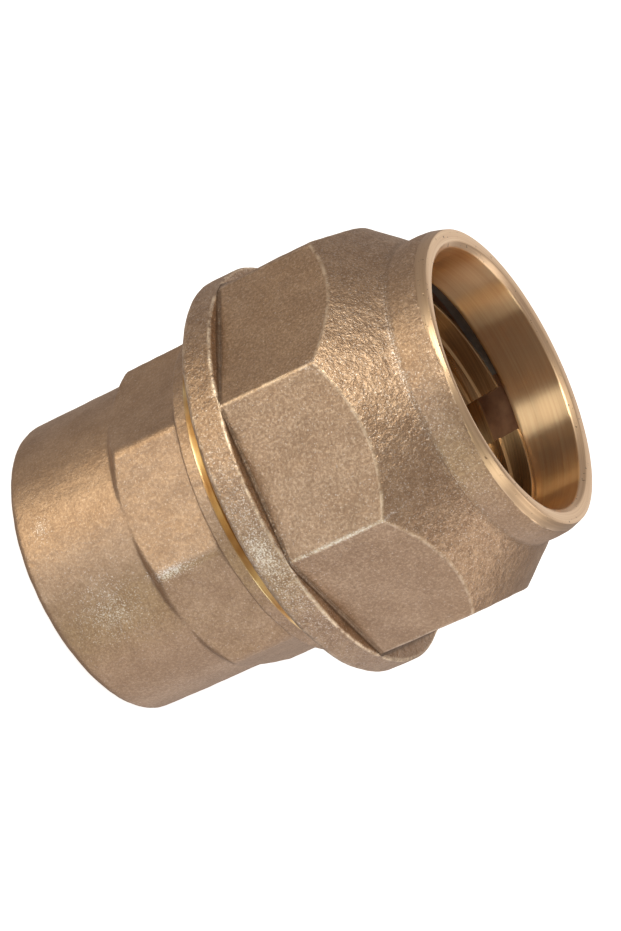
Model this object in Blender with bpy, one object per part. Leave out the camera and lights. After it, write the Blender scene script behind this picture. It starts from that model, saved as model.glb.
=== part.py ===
"""Pipe union for plastic pipe: a cast body with a female pipe thread, an octagonal clamp nut
that screws onto it, a split grip ring, a thrust washer and a seal.

Metres, +Z up along the pipe's axis. The origin is the centre of the body's end face, on which
the fitting stands with the nut's mouth up. Lengths below are in millimetres, and MM turns them
into metres where the meshes are made. Every profile is a closed outline of (radius, height).
"""
import math

import bmesh
import bpy
from mathutils import Matrix, Vector

MM = 0.001
ROUND_STEPS = 48        # facets round a turned surface
THREAD_STEPS = 32       # facets round a thread
ARC_STEPS = 2           # facets along a small corner radius

# Overall
LENGTH = 57.9
PIPE_BORE = 16.3        # radius that passes a 32 mm pipe
OCTAGON = 8

# Clamp thread, right-handed, 60 degrees, M40 x 2
CLAMP_PITCH = 2.0
CLAMP_MAJOR = 19.95
CLAMP_SLACK = 0.35      # the nut's thread is this much larger in radius
CLAMP_FLANK = math.radians(30.0)
CLAMP_ROOT = CLAMP_PITCH / 4
CLAMP_CREST = CLAMP_PITCH / 8

# Pipe thread in the body, G1, 11 threads per inch, 55 degrees
PIPE_PITCH = 25.4 / 11
PIPE_MAJOR = 33.249 / 2
PIPE_MINOR = 30.291 / 2
PIPE_FLANK = math.radians(27.5)
PIPE_FLAT = (PIPE_PITCH - 2 * (PIPE_MAJOR - PIPE_MINOR) * math.tan(PIPE_FLANK)) / 2
PIPE_THREAD_DEPTH = 16.0
PIPE_ENTRY = 16.7       # radius where the entry chamfer meets the end face

# Body
BODY_R = 18.5
BODY_END_RADIUS = 1.0
BODY_FLAT = 18.6        # half the width across the body's wrench flats
BODY_FLATS_START = 14.5
BODY_FLATS_FULL = 15.9
FLANGE_R = 20.4
FLANGE_LOW = 24.6
FLANGE_HIGH = 26.9
FLANGE_EDGE = 0.2
RELIEF_R = 18.55
CLAMP_THREAD_START = 28.4
SPIGOT_TOP = 40.0
THROAT_R = 13.0
THROAT_LOW = 18.2
SOCKET_FLOOR = 20.5
SEAT_R = 17.7
SEAT_FLOOR = 34.0

# Clamp nut, as it stands just over one turn short of the flange
NUT_FLAT = 23.0         # half the width across the nut's wrench flats
NUT_TURN = math.radians(8.6)
COLLAR_R = 25.1
COLLAR_LOW = 29.05
COLLAR_HIGH = 33.15
COLLAR_EDGE = 0.7
NECK_R = 18.95
NECK_LOW = 52.8
LIP_R = 18.9
LIP_FACE_R = 18.35
LIP_BEVEL = 1.6
SHOULDER_END_R = 25.3
SHOULDER_END = 44.9
SHOULDER_BULGE = 0.06
SHOULDER_STEPS = 3
BORE_CHAMFER = 0.7
BORE_END = 50.5
BORE_END_BEVEL = 0.3
CONE_TOP_R = 17.6
CONE_LOW = 45.5
NUT_RELIEF_R = 20.5
NUT_RELIEF_LOW = 43.0

# Grip ring, lying loose and tilted in the nut's cone
RING_FRONT = 50.34
RING_LENGTH = 6.8
RING_TILT = math.radians(5.0)
RING_LOW_SIDE = math.radians(185.0)
RING_NOSE_R = 16.0
RING_NOSE_INNER = 15.4
RING_NOSE_LENGTH = 2.3
RING_CONE_R = 17.3
RING_BACK_R = 16.9
RING_TOOTH_R = 15.0
RING_GROOVE_R = 15.4
RING_TEETH = 3
RING_TOOTH_RISE = 0.25
SLIT_CENTRE = math.radians(88.5)
SLIT_WIDTH = math.radians(21.0)

# Washer and seal in the body's seat
PACKING_R = 17.4
WASHER_INNER = 16.3
WASHER_LOW = 37.4
WASHER_HIGH = 38.6
SEAL_INNER = 15.8
SEAL_LOW = 34.3
SEAL_HIGH = 37.1
SEAL_ROUND = 0.5


def clear_scene():
    """Remove whatever the scene holds."""
    for old in list(bpy.data.objects):
        bpy.data.objects.remove(old, do_unlink=True)


def material(name, colour, roughness, metallic):
    """A Principled material with one colour."""
    made = bpy.data.materials.new(name)
    made.use_nodes = True
    shader = made.node_tree.nodes["Principled BSDF"]
    shader.inputs["Base Color"].default_value = (*colour, 1.0)
    shader.inputs["Roughness"].default_value = roughness
    shader.inputs["Metallic"].default_value = metallic
    return made


def object_from(name, mesh_data):
    """Link a finished bmesh as an object whose faces point outwards."""
    bmesh.ops.recalc_face_normals(mesh_data, faces=mesh_data.faces)
    mesh = bpy.data.meshes.new(name)
    mesh_data.to_mesh(mesh)
    mesh_data.free()
    made = bpy.data.objects.new(name, mesh)
    bpy.context.collection.objects.link(made)
    return made


def corner_arc(centre, radius, start, end, steps=ARC_STEPS):
    """Points along a small corner radius; angles are in degrees from the outward direction."""
    points = []
    for step in range(steps + 1):
        angle = math.radians(start + (end - start) * step / steps)
        points.append((centre[0] + radius * math.cos(angle), centre[1] + radius * math.sin(angle)))
    return points


def bulged_arc(start, end, bulge, steps):
    """Points along a circular arc from start to end that stands out from its chord by bulge."""
    chord = math.dist(start, end)
    radius = (chord * chord / 4 + bulge * bulge) / (2 * bulge)
    half_angle = math.asin(chord / 2 / radius)
    along = Vector(((end[0] - start[0]) / chord, (end[1] - start[1]) / chord))
    outward = Vector((-along.y, along.x))
    middle = (Vector(start) + Vector(end)) / 2 + outward * (bulge - radius)
    points = []
    for step in range(steps + 1):
        angle = half_angle * (2 * step / steps - 1)
        place = middle + radius * (outward * math.cos(angle) + along * math.sin(angle))
        points.append((place.x, place.y))
    return points


def revolve(name, outline, steps=ROUND_STEPS):
    """A solid turned about Z from a closed outline; points on the axis become single poles."""
    mesh_data = bmesh.new()
    rings = []
    for radius, height in outline:
        if radius == 0:
            rings.append([mesh_data.verts.new((0, 0, height * MM))] * steps)
            continue
        ring = []
        for step in range(steps):
            angle = 2 * math.pi * step / steps
            place = (radius * math.cos(angle) * MM, radius * math.sin(angle) * MM, height * MM)
            ring.append(mesh_data.verts.new(place))
        rings.append(ring)
    for ring, following in zip(rings, rings[1:] + rings[:1]):
        for step in range(steps):
            after = (step + 1) % steps
            corners = (ring[step], ring[after], following[after], following[step])
            distinct = list(dict.fromkeys(corners))
            if len(distinct) > 2:
                mesh_data.faces.new(distinct)
    return object_from(name, mesh_data)


def prism(name, corner_radius, sides, turn, low, high):
    """A regular prism along Z."""
    mesh_data = bmesh.new()
    outline = []
    for side in range(sides):
        angle = turn + 2 * math.pi * side / sides
        outline.append(mesh_data.verts.new((corner_radius * math.cos(angle) * MM,
                                            corner_radius * math.sin(angle) * MM, low * MM)))
    base = mesh_data.faces.new(outline)
    raised = bmesh.ops.extrude_face_region(mesh_data, geom=[base])
    top = [item for item in raised["geom"] if isinstance(item, bmesh.types.BMVert)]
    bmesh.ops.translate(mesh_data, verts=top, vec=(0, 0, (high - low) * MM))
    return object_from(name, mesh_data)


def threaded_rod(name, thread, pitch, low, high):
    """A round bar between two heights with a right-handed thread on it.

    thread lists one pitch of the profile as (height above the turn's start, radius).
    """
    mesh_data = bmesh.new()
    turns = math.ceil((high - low) / pitch) + 2
    columns = []
    for step in range(THREAD_STEPS):
        angle = 2 * math.pi * step / THREAD_STEPS
        lift = low + pitch * (step / THREAD_STEPS - 1)
        column = []
        for turn in range(turns):
            for height, radius in thread:
                column.append(mesh_data.verts.new((radius * math.cos(angle) * MM,
                                                   radius * math.sin(angle) * MM,
                                                   (lift + turn * pitch + height) * MM)))
        columns.append(column)
    for step, column in enumerate(columns):
        seam = step == THREAD_STEPS - 1
        following = columns[0] if seam else columns[step + 1]
        shift = len(thread) if seam else 0
        for row in range(len(column) - 1 - shift):
            mesh_data.faces.new((column[row], following[row + shift],
                                 following[row + 1 + shift], column[row + 1]))
    for height, direction in ((low, -1), (high, 1)):
        everything = mesh_data.verts[:] + mesh_data.edges[:] + mesh_data.faces[:]
        cut = bmesh.ops.bisect_plane(mesh_data, geom=everything, dist=1e-9,
                                     plane_co=(0, 0, height * MM), plane_no=(0, 0, direction),
                                     clear_outer=True)
        rim = [item for item in cut["geom_cut"] if isinstance(item, bmesh.types.BMEdge)]
        bmesh.ops.contextual_create(mesh_data, geom=rim)
    return object_from(name, mesh_data)


def thread_profile(major, minor, root, crest, pitch):
    """One pitch of a thread: root flat, rising flank, crest flat, falling flank."""
    flank = (pitch - root - crest) / 2
    return [(0, minor), (root, minor), (root + flank, major), (root + flank + crest, major)]


def apply_boolean(target, tool, operation):
    """Combine target with tool, keep the result in target and remove the tool."""
    modifier = target.modifiers.new(operation.title(), "BOOLEAN")
    modifier.operation = operation
    modifier.object = tool
    evaluated = target.evaluated_get(bpy.context.evaluated_depsgraph_get())
    result = bpy.data.meshes.new_from_object(evaluated)
    target.modifiers.clear()
    target.data = result
    bpy.data.objects.remove(tool, do_unlink=True)


def finish(part, finish_material):
    """Give a part its material and smooth shading with crisp edges."""
    part.data.materials.clear()
    part.data.materials.append(finish_material)
    part.data.shade_smooth()
    part.data.set_sharp_from_angle(angle=math.radians(30))


def clamp_thread(slack):
    """The clamp thread's profile, enlarged by slack in radius."""
    height = (CLAMP_PITCH - CLAMP_ROOT - CLAMP_CREST) / 2 / math.tan(CLAMP_FLANK)
    major = CLAMP_MAJOR + slack
    return thread_profile(major, major - height, CLAMP_ROOT, CLAMP_CREST, CLAMP_PITCH)


def body_outside():
    """The turned outside of the body, with the spigot as a plain core."""
    outline = [(0, 0)]
    outline += corner_arc((BODY_R - BODY_END_RADIUS, BODY_END_RADIUS), BODY_END_RADIUS, -90, 0)
    outline += [(BODY_R, FLANGE_LOW)]
    outline += [(FLANGE_R - FLANGE_EDGE, FLANGE_LOW), (FLANGE_R, FLANGE_LOW + FLANGE_EDGE)]
    outline += [(FLANGE_R, FLANGE_HIGH - FLANGE_EDGE), (FLANGE_R - FLANGE_EDGE, FLANGE_HIGH)]
    outline += [(RELIEF_R, FLANGE_HIGH), (RELIEF_R, SPIGOT_TOP - CLAMP_PITCH)]
    outline += [(0, SPIGOT_TOP - CLAMP_PITCH)]
    return revolve("fitting_body", outline)


def body_wrench_flats():
    """The octagonal section, whose corners rise out of the round body on a short cone."""
    corner = BODY_FLAT / math.cos(math.pi / OCTAGON)
    flats = prism("body_flats", corner, OCTAGON, math.pi / OCTAGON, BODY_FLATS_START - 1,
                  FLANGE_LOW + 1)
    cone = revolve("body_flats_cone", [(0, BODY_FLATS_START), (BODY_R, BODY_FLATS_START),
                                       (corner, BODY_FLATS_FULL), (corner, FLANGE_LOW + 0.5),
                                       (0, FLANGE_LOW + 0.5)])
    apply_boolean(flats, cone, "INTERSECT")
    return flats


def body_clamp_thread():
    """The spigot's thread with a chamfer at each end."""
    rod = threaded_rod("body_thread", clamp_thread(0), CLAMP_PITCH, CLAMP_THREAD_START - 1,
                       SPIGOT_TOP + 1)
    start = RELIEF_R - 0.1
    rise = CLAMP_MAJOR + 0.2 - start
    limits = revolve("thread_limits", [(0, CLAMP_THREAD_START), (start, CLAMP_THREAD_START),
                                       (start + rise, CLAMP_THREAD_START + rise),
                                       (start + rise, SPIGOT_TOP - rise),
                                       (start, SPIGOT_TOP), (0, SPIGOT_TOP)])
    apply_boolean(rod, limits, "INTERSECT")
    return rod


def body_inside():
    """The hollow through the body: threaded socket, throat, pipe socket and seal seat."""
    outline = [(0, -1), (PIPE_ENTRY + 1, -1), (PIPE_MINOR, PIPE_ENTRY - PIPE_MINOR)]
    outline += [(PIPE_MINOR, PIPE_THREAD_DEPTH + 0.5), (THROAT_R, THROAT_LOW)]
    outline += [(THROAT_R, SOCKET_FLOOR), (PIPE_BORE, SOCKET_FLOOR), (PIPE_BORE, SEAT_FLOOR)]
    outline += [(SEAT_R, SEAT_FLOOR), (SEAT_R, SPIGOT_TOP + 1), (0, SPIGOT_TOP + 1)]
    return revolve("body_hollow", outline)


def make_body():
    """The cast body, open from end to end."""
    body = body_outside()
    apply_boolean(body, body_wrench_flats(), "UNION")
    apply_boolean(body, body_clamp_thread(), "UNION")
    apply_boolean(body, body_inside(), "DIFFERENCE")
    pipe_thread = thread_profile(PIPE_MAJOR, PIPE_MINOR, PIPE_FLAT, PIPE_FLAT, PIPE_PITCH)
    apply_boolean(body, threaded_rod("pipe_thread", pipe_thread, PIPE_PITCH, -1,
                                     PIPE_THREAD_DEPTH), "DIFFERENCE")
    finish(body, material("cast_gunmetal", (0.36, 0.24, 0.14), 0.55, 0.9))


def nut_outside():
    """The octagon, its sloping shoulder, neck, lip and round collar."""
    corner = NUT_FLAT / math.cos(math.pi / OCTAGON)
    nut = prism("clamp_nut", corner, OCTAGON, NUT_TURN + math.pi / OCTAGON, COLLAR_LOW + 1,
                LENGTH + 1)
    shoulder = [(0, COLLAR_LOW + 0.5), (SHOULDER_END_R, COLLAR_LOW + 0.5)]
    slope = bulged_arc((NECK_R, NECK_LOW), (SHOULDER_END_R, SHOULDER_END), SHOULDER_BULGE,
                       SHOULDER_STEPS)
    shoulder += reversed(slope)
    shoulder += [(LIP_R, LENGTH - LIP_BEVEL), (LIP_FACE_R, LENGTH), (0, LENGTH)]
    apply_boolean(nut, revolve("nut_shoulder", shoulder), "INTERSECT")
    edge = COLLAR_R - COLLAR_EDGE
    collar = [(0, COLLAR_LOW)]
    collar += corner_arc((edge, COLLAR_LOW + COLLAR_EDGE), COLLAR_EDGE, -90, 0)
    collar += corner_arc((edge, COLLAR_HIGH - COLLAR_EDGE), COLLAR_EDGE, 0, 90)
    collar += [(0, COLLAR_HIGH)]
    apply_boolean(nut, revolve("nut_collar", collar), "UNION")
    return nut


def nut_inside():
    """The hollow through the nut: pipe bore, clamping cone and thread clearance."""
    thread_minor = clamp_thread(CLAMP_SLACK)[0][1]
    entry = CLAMP_MAJOR + 2 * CLAMP_SLACK
    outline = [(0, COLLAR_LOW - 1), (entry + 1, COLLAR_LOW - 1)]
    outline += [(thread_minor, COLLAR_LOW + entry - thread_minor)]
    outline += [(thread_minor, NUT_RELIEF_LOW - (NUT_RELIEF_R - thread_minor))]
    outline += [(NUT_RELIEF_R, NUT_RELIEF_LOW), (NUT_RELIEF_R, CONE_LOW)]
    outline += [(CONE_TOP_R, BORE_END), (PIPE_BORE + BORE_END_BEVEL, BORE_END)]
    outline += [(PIPE_BORE, BORE_END + BORE_END_BEVEL), (PIPE_BORE, LENGTH - BORE_CHAMFER)]
    outline += [(PIPE_BORE + BORE_CHAMFER + 1, LENGTH + 1), (0, LENGTH + 1)]
    return revolve("nut_hollow", outline)


def make_nut():
    """The clamp nut, in mesh with the body's thread."""
    nut = nut_outside()
    apply_boolean(nut, nut_inside(), "DIFFERENCE")
    apply_boolean(nut, threaded_rod("nut_thread", clamp_thread(CLAMP_SLACK), CLAMP_PITCH,
                                    CLAMP_THREAD_START - 1, NUT_RELIEF_LOW + 1), "DIFFERENCE")
    finish(nut, material("cast_nut", (0.36, 0.24, 0.14), 0.55, 0.9))


def ring_outline():
    """The grip ring's section: thin nose, outer cone and inward teeth."""
    outline = [(RING_NOSE_R, 0), (RING_NOSE_INNER, 0), (RING_NOSE_INNER, -RING_NOSE_LENGTH)]
    pitch = (RING_LENGTH - RING_NOSE_LENGTH) / RING_TEETH
    for tooth in range(RING_TEETH):
        start = -RING_NOSE_LENGTH - tooth * pitch
        outline += [(RING_TOOTH_R, start - RING_TOOTH_RISE), (RING_GROOVE_R, start - pitch)]
    outline += [(RING_BACK_R, -RING_LENGTH), (RING_CONE_R, -RING_LENGTH + 1.2)]
    outline += [(RING_NOSE_R, -RING_NOSE_LENGTH)]
    return outline


def make_grip_ring():
    """The grip ring, slit right through and tilted in the cone."""
    ring = revolve("grip_ring", ring_outline())
    half_gap = RING_CONE_R * math.sin(SLIT_WIDTH / 2)
    cutter_mesh = bmesh.new()
    bmesh.ops.create_cube(cutter_mesh, size=1)
    bmesh.ops.scale(cutter_mesh, verts=cutter_mesh.verts,
                    vec=(RING_CONE_R * MM, 2 * half_gap * MM, 2 * RING_LENGTH * MM))
    cutter = object_from("slit", cutter_mesh)
    spot = Matrix.Rotation(SLIT_CENTRE, 4, "Z")
    cutter.data.transform(spot @ Matrix.Translation((RING_CONE_R * MM, 0, -RING_LENGTH / 2 * MM)))
    apply_boolean(ring, cutter, "DIFFERENCE")
    hinge_line = Vector((math.sin(RING_LOW_SIDE), -math.cos(RING_LOW_SIDE), 0))
    tilt = Matrix.Rotation(-RING_TILT, 4, hinge_line)
    ring.data.transform(Matrix.Translation((0, 0, RING_FRONT * MM)) @ tilt)
    finish(ring, material("ring_brass", (0.45, 0.30, 0.14), 0.35, 1.0))


def make_thrust_washer():
    """The flat washer between the ring and the seal."""
    washer = revolve("thrust_washer", [(PACKING_R, WASHER_LOW), (PACKING_R, WASHER_HIGH),
                                       (WASHER_INNER, WASHER_HIGH), (WASHER_INNER, WASHER_LOW)])
    finish(washer, material("washer_brass", (0.50, 0.36, 0.18), 0.3, 1.0))


def make_seal():
    """The rubber seal with rounded edges."""
    outline = []
    for side, spin in ((PACKING_R - SEAL_ROUND, -90), (PACKING_R - SEAL_ROUND, 0),
                       (SEAL_INNER + SEAL_ROUND, 90), (SEAL_INNER + SEAL_ROUND, 180)):
        height = SEAL_LOW + SEAL_ROUND if spin in (-90, 180) else SEAL_HIGH - SEAL_ROUND
        outline += corner_arc((side, height), SEAL_ROUND, spin, spin + 90)
    seal = revolve("seal_ring", outline)
    finish(seal, material("seal_rubber", (0.02, 0.02, 0.02), 0.6, 0.0))


clear_scene()
make_body()
make_nut()
make_grip_ring()
make_thrust_washer()
make_seal()
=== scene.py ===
"""Looks of the pipe union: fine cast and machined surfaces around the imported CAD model.

Lengths are in millimetres and are scaled by MM, apart from the studio's, which are in metres.
Heights are measured along the pipe's axis from the body's end face. Depths are measured down
from the nut's mouth. The scales of noise textures are per metre.
"""
import math

import bpy
import numpy as np
from mathutils import Matrix, Vector, noise


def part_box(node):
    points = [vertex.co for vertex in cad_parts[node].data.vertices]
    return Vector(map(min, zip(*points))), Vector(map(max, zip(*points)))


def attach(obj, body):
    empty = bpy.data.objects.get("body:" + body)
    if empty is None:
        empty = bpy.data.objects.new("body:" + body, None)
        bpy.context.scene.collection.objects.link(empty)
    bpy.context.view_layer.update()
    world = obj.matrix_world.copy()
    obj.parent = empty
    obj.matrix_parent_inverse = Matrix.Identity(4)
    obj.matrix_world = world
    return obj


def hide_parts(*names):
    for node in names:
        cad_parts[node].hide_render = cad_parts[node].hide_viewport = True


MM = 0.001

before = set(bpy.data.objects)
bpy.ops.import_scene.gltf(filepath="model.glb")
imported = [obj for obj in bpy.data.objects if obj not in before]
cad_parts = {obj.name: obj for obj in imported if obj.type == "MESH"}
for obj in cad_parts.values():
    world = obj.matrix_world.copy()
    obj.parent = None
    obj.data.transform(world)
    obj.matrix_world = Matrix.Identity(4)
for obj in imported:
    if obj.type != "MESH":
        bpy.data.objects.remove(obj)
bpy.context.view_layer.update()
NUT_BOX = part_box("clamp_nut")
BODY_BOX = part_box("fitting_body")

# Driving sizes, read from the frame
MOUTH = NUT_BOX[1].z / MM
COLLAR_LOW = NUT_BOX[0].z / MM
COLLAR_R = NUT_BOX[1].x / MM
SPIGOT_TOP = BODY_BOX[1].z / MM

# Shared by nut and body: their octagons, the pipe's bore and the clamping thread
OCTAGON = 8
BORE_R = 16.3
CLAMP_PITCH = 2.0
CLAMP_MAJOR_R = 19.95
CLAMP_DEPTH = 1.0825
CLAMP_SLACK = 0.35
CLAMP_FLAT_SHARE = 0.19
THREAD_START = 28.4
THREAD_ORIGIN = THREAD_START - 1
THREAD_STEP = 0.2

# Cast skin: its rims lie SKIN_SHIFT off the bore's axis and are SKIN_ROOM smaller than the CAD's
SKIN_ROOM = 0.1
SKIN_SHIFT = 0.22
SKIN_SHIFT_SIDE = math.radians(11.0)
WAVE_DEPTH = 0.07
WAVE_SIZE = 4.5
RIPPLE_SIZE = WAVE_SIZE / 3.1
RIPPLE_SHARE = 0.5
EDGE_REACH = 0.35
# How far the painted shade in concave corners spreads, in passes of blurring
CORNER_SHADE_SPREAD = 4

# Least width of a flat ring beside a rim
LEAST_STEP = 0.02

# Clamp nut: octagon and dome
NUT_FLAT = 23.0
NUT_TURN = math.radians(8.6)
NUT_CORNER_BLEND = 0.22
NUT_ARC_BLEND = 0.16
NUT_COLUMNS = 64
NUT_CROWDING = 0.62
NUT_STEP = 0.11
NECK_R = 18.95
NECK_LOW = MOUTH - 5.1
NECK_BLEND = 0.55
DOME_TOP_R = 18.95
DOME_END_R = 25.3
DOME_END = MOUTH - 13.0
DOME_BULGE = 0.06

# Clamp nut: collar
COLLAR_HIGH = COLLAR_LOW + 4.1
COLLAR_EDGE = 0.8
COLLAR_FRONT_EDGE = 0.35
COLLAR_FILLET = 0.3
COLLAR_LEDGE = 0.06

# Clamp nut: turned lip, with the cast skin running up to it, lower on one side
LIP_R = 18.9
LIP_FACE_R = 18.35
LIP_FACE_EDGE = 0.12
LIP_DROP = 0.1
LIP_BEVEL = 1.6
LIP_CROWN = 0.05
LIP_RUN_OUT = 1.2
LIP_BLEND = 0.5
LIP_STEP = 0.07
LIP_SKIN = 1.3
LIP_LOW_SPOT = 0.75
LIP_LOW_SIDE = math.radians(-86.0)
LIP_LOW_SPAN = math.radians(24.0)

# Clamp nut: bore, its chamfered mouth, thread relief, and the cone in painted shade, bluish grey on
# one side
BORE_CHAMFER = 0.55
BORE_CHAMFER_EXTRA = 0.9
BORE_CHAMFER_SIDE = math.radians(-74.0)
BORE_CHAMFER_SPAN = math.radians(52.0)
BORE_CHAMFER_ROOM = 1.6
BORE_END = MOUTH - 7.4
BORE_END_BEVEL = 0.3
CONE_TOP_R = 17.6
CONE_LOW = MOUTH - 12.4
# Painted shade: from this point to the bore's end, one side of the cone is coloured bluish grey for
# the deep shadow there
CONE_SHADE_R = CONE_TOP_R + 1.1
CONE_SHADE_LOW = BORE_END - 1.9
PAINTED_SHADE_SIDE = math.radians(158.0)
PAINTED_SHADE_SPAN = math.radians(54.0)
PAINTED_SHADE_LEAST = 0.37
NUT_RELIEF_R = 20.5
NUT_RELIEF_LOW = MOUTH - 14.9

# Body: round end, octagon and flange
BODY_R = 18.5
BODY_END_RADIUS = 1.0
BODY_ROUND_HIGH = 12.0
BODY_FLAT = 18.52
BODY_CORNER_BLEND = 0.6
BODY_FLATS_START = 14.5
BODY_FLATS_SLOPE = 1.05
BODY_FLATS_BLEND = 0.4
BODY_COLUMNS = 60
BODY_CROWDING = 0.5
BODY_STEP = 0.2
FLANGE_R = 20.4
FLANGE_LOW = 24.6
FLANGE_HIGH = 26.9
FLANGE_EDGE = 0.3
FLANGE_CHAMFER = 0.5
FLANGE_SIDE_HIGH = FLANGE_HIGH - 0.7
RELIEF_R = 18.55

# Body: pipe thread, throat, pipe's socket and seal's seat. PIPE_FLANK is a flank's length along
# the axis
PIPE_PITCH = 25.4 / 11
PIPE_MAJOR_R = 33.249 / 2
PIPE_MINOR_R = 30.291 / 2
PIPE_FLANK = 0.77
PIPE_FLAT_SHARE = 0.5 - PIPE_FLANK / PIPE_PITCH
PIPE_THREAD_ORIGIN = -1.0
PIPE_THREAD_DEPTH = 16.0
PIPE_THREAD_STEP = 0.22
PIPE_ENTRY_R = 16.7
THROAT_R = 13.0
THROAT_LOW = 18.2
SOCKET_FLOOR = 20.5
SEAT_R = 17.7
SEAT_FLOOR = 34.0

# Lumpiness of the cast skin, 0 to 1, and the widths over which it changes
NECK_COARSENESS = 0.35
FLANGE_COARSENESS = 0.6
BODY_COARSENESS = 0.3
COARSE_BLEND = 0.4
COARSE_BELOW_FLANGE = 0.5

# Strength of the fine grain, strongest on one side of the nut, and of the body's pale edges, part
# rubbed wear and part painted highlight, and of its painted corner shade
NUT_GRIT = 0.72
NUT_GRIT_SWING = 0.33
GRIT_SIDE = math.radians(-120.0)
BODY_GRIT = 0.58
BODY_RUB_AND_PAINTED_LIGHT = 0.3

# Places where the skin is rubbed bright, and two thin bands of painted highlight: piece, angle in
# degrees, height, reach round, reach along, strength
WORN_AND_PAINTED_HIGHLIGHT = (
    ("nut_casting", -64.0, 31.0, 3.0, 1.9, 0.85),
    ("nut_casting", -62.0, 31.5, 8.0, 2.6, 0.42),
    ("nut_casting", -58.9, 39.5, 0.2, 6.5, 1.6),
    ("nut_casting", -103.9, 44.8, 0.7, 0.8, 0.6),
    ("nut_casting", -70.0, 55.0, 8.0, 1.6, 0.22),
    # The next two are bands of painted highlight along the junction of the nut's neck and dome
    ("nut_casting", -101.0, 52.9, 11.0, 0.35, 0.5),
    ("nut_casting", -66.0, 53.2, 11.0, 0.4, 0.34),
    ("body_casting", -67.5, 17.6, 0.7, 3.0, 1.1),
    ("body_casting", -63.0, 8.0, 3.2, 3.8, 0.55),
    ("body_casting", -101.0, 3.8, 1.1, 1.0, 0.6),
)

# Grip ring
RING_FRONT = MOUTH - 7.56
RING_LENGTH = 6.8
RING_TILT = math.radians(5.0)
RING_LOW_SIDE = math.radians(185.0)
RING_NOSE_R = 16.0
RING_NOSE_INNER_R = 15.4
RING_NOSE_LENGTH = 2.3
RING_NOSE_EDGE = 0.05
RING_CONE_R = 17.3
RING_BACK_R = 16.9
RING_BACK_TAPER = 1.2
RING_GROOVE_R = 15.4
RING_STEPS = 300
RING_SHARP = math.radians(25.0)
SLIT_CENTRE = math.radians(88.5)
SLIT_WIDTH = math.radians(21.0)

# Grip ring's teeth: each crest is a narrow band near its tooth's front
TEETH = 3
TOOTH_R = 15.0
TOOTH_FRONT = 0.25
TOOTH_BACK = 0.42
TOOTH_BACK_DROP = 0.04

# Thrust washer and seal
WASHER_INNER_R = 16.3
WASHER_EDGE = 0.15
SEAL_INNER_R = 15.8
SEAL_EDGE = 0.7
PACKING_COLUMNS = 192

# Camera, placed from the middle of the nut's mouth
CAMERA_AZIMUTH = math.radians(11.2)
CAMERA_ELEVATION = math.radians(22.965)
CAMERA_ROLL = math.radians(64.99)
CAMERA_DISTANCE = 396.0
MOUTH_RIGHT = 22.95
MOUTH_UP = 10.29
LENS = 134.21

# Studio, in metres; each light: name, direction as (right, up, backward), size, power, colour
LIGHT_DISTANCE = 0.60
LIGHTS = (
    ("key", (-0.83, 0.32, 0.46), 0.36, 0.98, (1.0, 0.885, 0.66)),
    ("key_low", (-0.75, -0.25, 0.62), 0.36, 0.52, (0.83, 0.91, 1.0)),
    ("front_top", (-0.05, 0.59, 0.81), 0.26, 1.58, (1.0, 0.975, 0.87)),
    ("front_top_right", (0.34, 0.62, 0.76), 0.20, 0.30, (1.0, 0.917, 0.75)),
    ("below", (0.0, -1.0, 0.1), 0.36, 0.35, (0.88, 0.896, 1.0)),
    ("below_front", (-0.2, -0.75, 0.62), 0.36, 0.30, (0.98, 1.0, 0.66)),
    ("right_low", (0.82, -0.54, 0.05), 0.36, 0.60, (1.0, 0.94, 0.88)),
    ("low_front_right", (0.36, -0.74, 0.57), 0.20, 0.22, (1.0, 0.97, 0.86)),
    ("below_right", (0.52, -0.84, -0.10), 0.30, 0.14, (1.0, 0.96, 0.88)),
    ("behind_right", (0.60, 0.27, -0.76), 0.50, 0.37, (1.0, 0.964, 0.90)),
    ("behind_low", (0.15, -0.75, -0.62), 0.36, 0.26, (0.94, 0.95, 1.0)),
)
WORLD_COLOUR = (0.340, 0.303, 0.289, 1.0)
FLOOR_SIZE = 8.0
FLOOR_HEIGHT = -0.0002
FLOOR_GLOW = 0.8


# ---------------------------------------------------------------- outlines

def soft_min(a, b, width):
    """The smaller of two lengths, with the corner between them rounded over width."""
    blend = np.clip(0.5 + 0.5 * (b - a) / width, 0.0, 1.0)
    return b * (1 - blend) + a * blend - width * blend * (1 - blend)


def soft_max(a, b, width):
    """The larger of two lengths, rounded in the same way."""
    return -soft_min(-a, -b, width)


def angle_from(angles, side):
    """How far each angle is from a side of the fitting, between minus and plus half a turn."""
    return (angles - side + math.pi) % (2 * math.pi) - math.pi


def bump_round(angles, side, span):
    """A smooth rise to 1 on one side of the fitting."""
    return np.exp(-(angle_from(angles, side) / span) ** 2)


def skin_radius(angles, radius):
    """Radius of a cast rim, which lies a little off the axis of the bore."""
    return radius - SKIN_ROOM + SKIN_SHIFT * np.cos(angles - SKIN_SHIFT_SIDE)


def columns(per_side, turn, crowd):
    """Angles round the axis, crowded towards the octagon's corners."""
    share = np.arange(per_side) / per_side
    within = share - crowd * np.sin(2 * math.pi * share) / (2 * math.pi)
    corner = turn + math.pi / OCTAGON
    sector = 2 * math.pi / OCTAGON
    return np.concatenate([corner + (side + within) * sector for side in range(OCTAGON)])


def octagon_radius(angles, flat, turn, width):
    """Radius of a regular octagon with rounded corners."""
    sector = 2 * math.pi / OCTAGON
    off_centre = np.abs((angles - turn + sector / 2) % sector - sector / 2)
    near = flat / np.cos(off_centre)
    other = flat / np.cos(sector - off_centre)
    return soft_min(near, other, width)


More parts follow.
